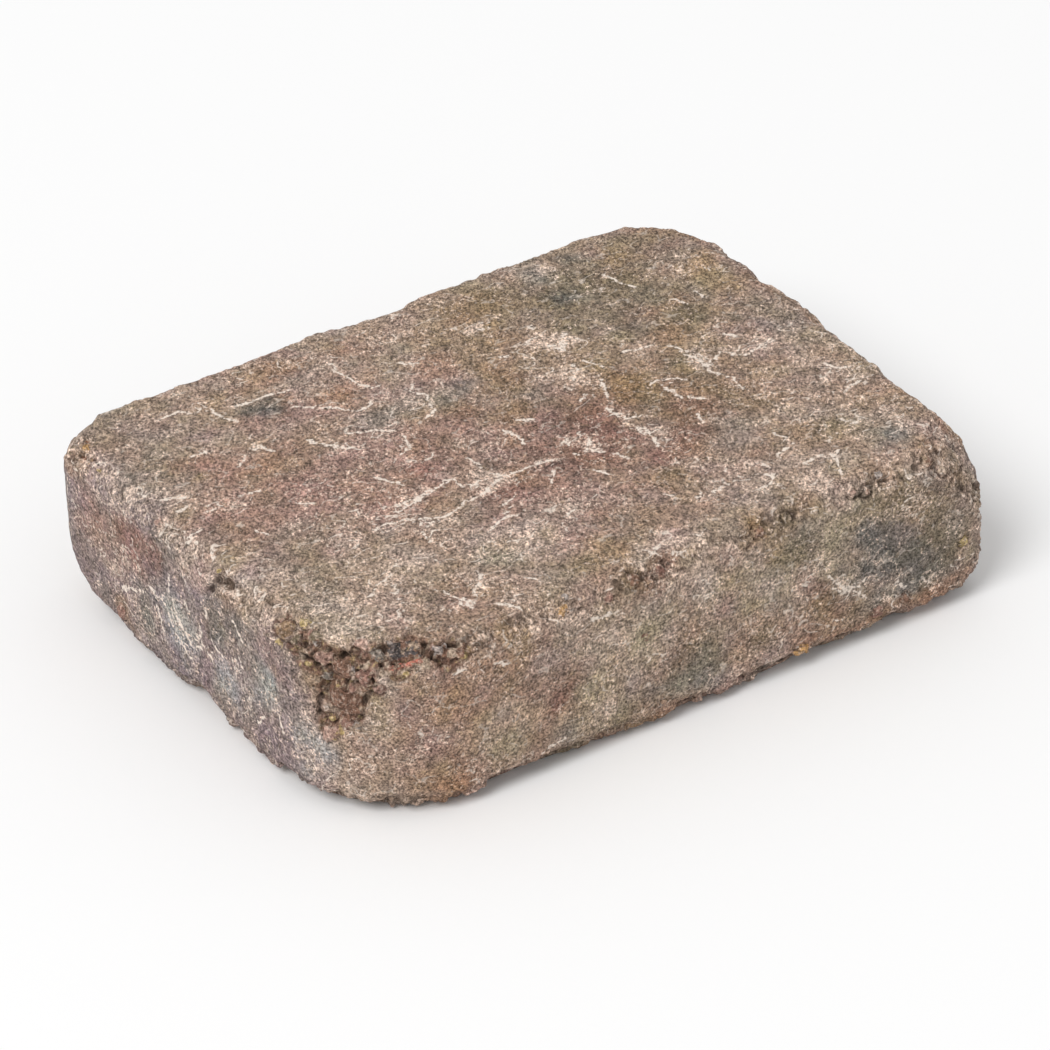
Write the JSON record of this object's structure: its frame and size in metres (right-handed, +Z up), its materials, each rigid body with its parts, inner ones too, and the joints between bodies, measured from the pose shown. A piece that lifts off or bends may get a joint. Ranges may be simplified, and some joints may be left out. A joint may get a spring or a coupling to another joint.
{
  "type": "concrete paver",
  "caption": "Rectangular tumbled concrete paving block with knocked-off corners and rounded, ragged arrises, for walks, patios and drives.",
  "frame": {"origin": "centre of the block's outline in plan, at the height of the flat bed face that it rests on", "axes": "+X along the long side, +Y along the short side away from the front, +Z up out of the wearing face"},
  "size_m": [0.2, 0.15, 0.05],
  "materials": {
    "concrete": "rough tumbled concrete, taupe brown with mauve, ochre and blue-grey mottling, pale lime bloom and cream streaks"
  },
  "bodies": {
    "root": {"paver": "concrete"}
  },
  "joints": []
}
